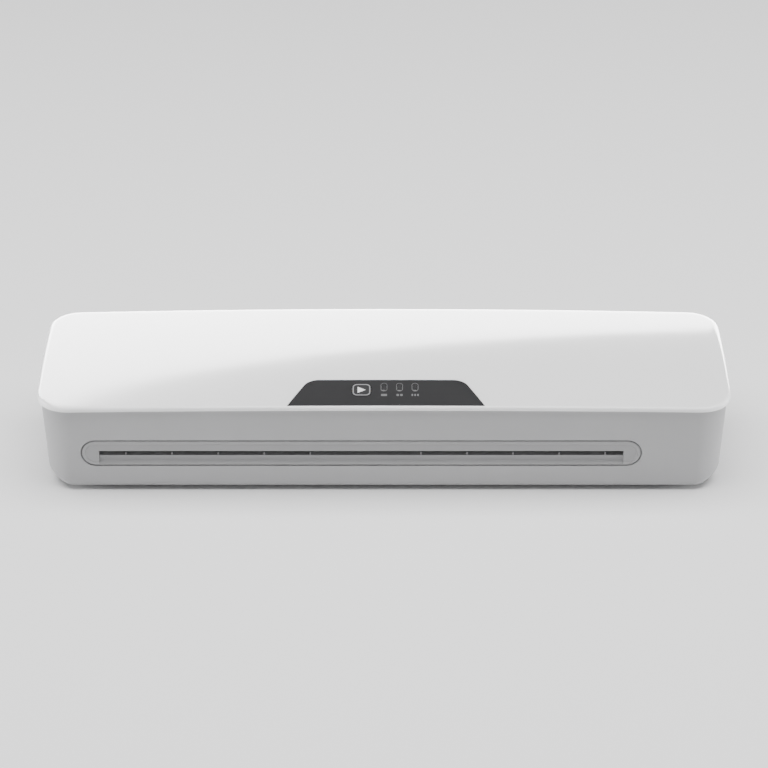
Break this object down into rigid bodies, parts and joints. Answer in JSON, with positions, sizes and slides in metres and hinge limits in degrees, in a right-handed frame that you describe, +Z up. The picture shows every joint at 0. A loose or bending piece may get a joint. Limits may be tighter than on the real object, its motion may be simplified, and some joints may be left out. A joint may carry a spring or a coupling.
{
  "type": "pouch laminator",
  "caption": "Desktop pouch laminator with a white domed cover, grey housing, front feed slot, heated and pull roller pairs geared to one motor, and a start button.",
  "frame": {"origin": "on the table under the middle of the casing", "axes": "+X to the right along the rollers, +Y from the feed slot to the back, +Z up"},
  "size_m": [0.42, 0.112, 0.0738],
  "materials": {
    "cover_plastic": "moulded white plastic, fine satin gloss",
    "housing_plastic": "moulded grey plastic, fine spark texture",
    "bezel_plastic": "moulded grey plastic, finer than the housing",
    "panel_plastic": "dark grey moulded plastic, satin",
    "button_plastic": "dark grey moulded plastic, satin",
    "lens_clear": "smoked translucent plastic",
    "foot_rubber": "matte",
    "screw_black": "black oxide",
    "gland_plastic": "black nylon",
    "frame_steel": "zinc plated sheet",
    "bar_steel": "turned",
    "screw_zinc": "zinc plated",
    "guide_plastic": "black heat-proof plastic",
    "shoe_aluminium": "extruded",
    "heater_mica": "mica sheet",
    "heater_sheath": "drawn tube",
    "insulator_ceramic": "unglazed",
    "thermostat_body": "bakelite",
    "fuse_metal": "plated",
    "shield_steel": "bright sheet",
    "bush_plastic": "natural acetal",
    "spring_steel": "drawn wire",
    "standoff_brass": "turned",
    "motor_steel": "deep drawn can",
    "gearbox_plastic": "moulded acetal",
    "circuit_board": "solder mask",
    "transformer_core": "varnished",
    "relay_blue": "moulded",
    "capacitor_sleeve": "shrink sleeve",
    "switch_black": "moulded",
    "led_epoxy": "clear epoxy",
    "wire_insulation": "PVC",
    "shaft_steel": "ground bar",
    "hot_silicone": "silicone",
    "pull_silicone": "silicone",
    "gear_black": "glass-filled nylon",
    "gear_white": "acetal"
  },
  "bodies": {
    "root": {"top_cover": "cover_plastic", "lower_housing": "housing_plastic", "control_panel": "panel_plastic", "indicator_lenses": "lens_clear", "feed_bezel": "bezel_plastic", "exit_bezel": "bezel_plastic", "rubber_feet": "foot_rubber", "case_screws": "screw_black", "cord_gland": "gland_plastic", "left_frame": "frame_steel", "right_frame": "frame_steel", "tie_bars": "bar_steel", "frame_screws": "screw_zinc", "feed_guide_upper": "guide_plastic", "feed_guide_lower": "guide_plastic", "mid_guides": "guide_plastic", "upper_heat_shoe": "shoe_aluminium", "lower_heat_shoe": "shoe_aluminium", "upper_heater_strip": "heater_mica", "lower_heater_rod": "heater_sheath", "shoe_insulators": "insulator_ceramic", "thermostat": "thermostat_body", "thermal_fuse": "fuse_metal", "heat_shield": "shield_steel", "lower_bushes": "bush_plastic", "spring_caps": "bush_plastic", "hot_springs": "spring_steel", "pull_springs": "spring_steel", "idler_stud": "bar_steel", "motor_bracket": "frame_steel", "standoffs": "standoff_brass", "motor_can": "motor_steel", "motor_gearbox": "gearbox_plastic", "main_pcb": "circuit_board", "transformer": "transformer_core", "power_relay": "relay_blue", "capacitors": "capacitor_sleeve", "control_pcb": "circuit_board", "tact_switch": "switch_black", "indicator_leds": "led_epoxy", "wiring": "wire_insulation"},
    "hot_carriage": {"hot_bearing_blocks": "bush_plastic"},
    "pull_carriage": {"pull_bearing_blocks": "bush_plastic"},
    "lower_hot_roller": {"lower_hot_shaft": "shaft_steel", "lower_hot_sleeve": "hot_silicone", "lower_hot_gear": "gear_black"},
    "upper_hot_roller": {"upper_hot_shaft": "shaft_steel", "upper_hot_sleeve": "hot_silicone", "upper_hot_gear": "gear_black"},
    "lower_pull_roller": {"lower_pull_shaft": "shaft_steel", "lower_pull_sleeve": "pull_silicone", "lower_pull_gear": "gear_white"},
    "upper_pull_roller": {"upper_pull_shaft": "shaft_steel", "upper_pull_sleeve": "pull_silicone", "upper_pull_gear": "gear_white"},
    "idler": {"idler_gear": "gear_white"},
    "motor_output": {"motor_shaft": "shaft_steel", "motor_pinion": "gear_white"},
    "button": {"start_button": "button_plastic", "switch_plunger": "bush_plastic"}
  },
  "joints": [
    {"name": "roller_drive", "type": "hinge", "parent": "root", "child": "lower_hot_roller", "pos_m": [0, -0.012, 0.0175], "axis": [1, 0, 0], "continuous": true},
    {"name": "hot_pressure_slide", "type": "slide", "parent": "root", "child": "hot_carriage", "axis": [0, 0, 1], "range_m": [0, 0.0008], "stiffness_N_per_m": 2000, "springref_m": -0.004, "deforming": ["hot_springs"]},
    {"name": "upper_hot_turn", "type": "hinge", "parent": "hot_carriage", "child": "upper_hot_roller", "pos_m": [0, -0.012, 0.0345], "axis": [1, 0, 0], "continuous": true},
    {"name": "lower_pull_turn", "type": "hinge", "parent": "root", "child": "lower_pull_roller", "pos_m": [0, 0.018, 0.019], "axis": [1, 0, 0], "continuous": true},
    {"name": "pull_pressure_slide", "type": "slide", "parent": "root", "child": "pull_carriage", "axis": [0, 0, 1], "range_m": [0, 0.0008], "stiffness_N_per_m": 2000, "springref_m": -0.004, "deforming": ["pull_springs"]},
    {"name": "upper_pull_turn", "type": "hinge", "parent": "pull_carriage", "child": "upper_pull_roller", "pos_m": [0, 0.018, 0.033], "axis": [1, 0, 0], "continuous": true},
    {"name": "idler_turn", "type": "hinge", "parent": "root", "child": "idler", "pos_m": [0, 0.00355, 0.02302], "axis": [1, 0, 0], "continuous": true},
    {"name": "motor_turn", "type": "hinge", "parent": "root", "child": "motor_output", "pos_m": [0, 0.033, 0.019], "axis": [1, 0, 0], "continuous": true},
    {"name": "button_press", "type": "slide", "parent": "root", "child": "button", "axis": [0, 0, -1], "range_m": [0, 0.0008], "stiffness_N_per_m": 300, "springref_m": -0.002}
  ],
  "couplings": [
    {"joint": "upper_hot_turn", "follows": "roller_drive", "ratio": -1},
    {"joint": "lower_pull_turn", "follows": "roller_drive", "ratio": 1.2143},
    {"joint": "upper_pull_turn", "follows": "roller_drive", "ratio": -1.2143},
    {"joint": "idler_turn", "follows": "roller_drive", "ratio": -1.0625},
    {"joint": "motor_turn", "follows": "roller_drive", "ratio": -1.0625}
  ]
}
